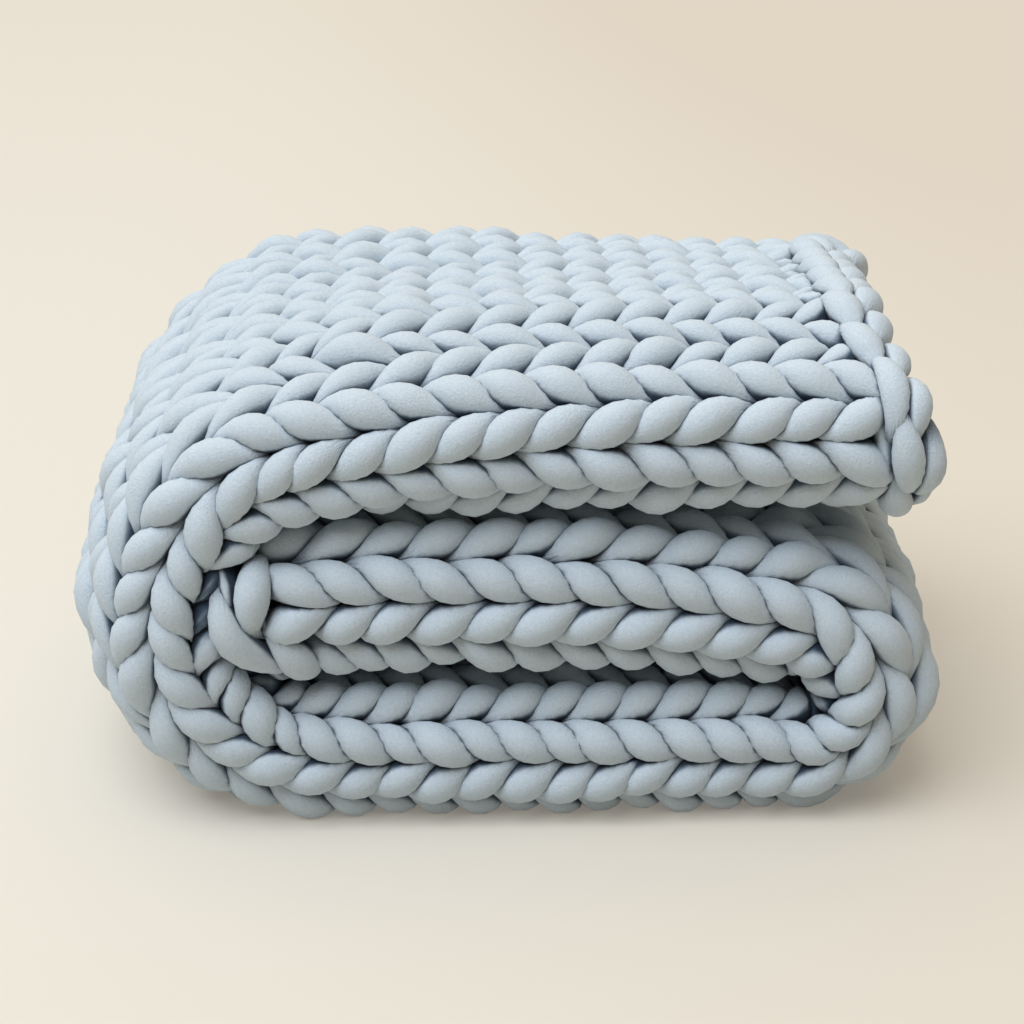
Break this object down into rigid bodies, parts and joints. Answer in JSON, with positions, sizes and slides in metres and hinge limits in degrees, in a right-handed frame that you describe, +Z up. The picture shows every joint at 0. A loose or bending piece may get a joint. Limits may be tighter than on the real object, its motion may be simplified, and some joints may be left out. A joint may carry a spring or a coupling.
{
  "type": "weighted blanket",
  "caption": "Chunky hand-knitted weighted blanket of fat stuffed tube yarn, folded lengthwise and then over into a soft rounded stack.",
  "frame": {"origin": "centre of the bounding box, on the surface that the folded blanket rests on", "axes": "+X along the folded layers to the cast-on end, -Y the side of the lengthwise fold, +Z up"},
  "size_m": [0.6983, 0.5185, 0.3967],
  "materials": {
    "tube_yarn": "matt powder-blue cotton jersey tube, stuffed"
  },
  "bodies": {
    "root": {"knitted_blanket": "tube_yarn"}
  },
  "joints": []
}
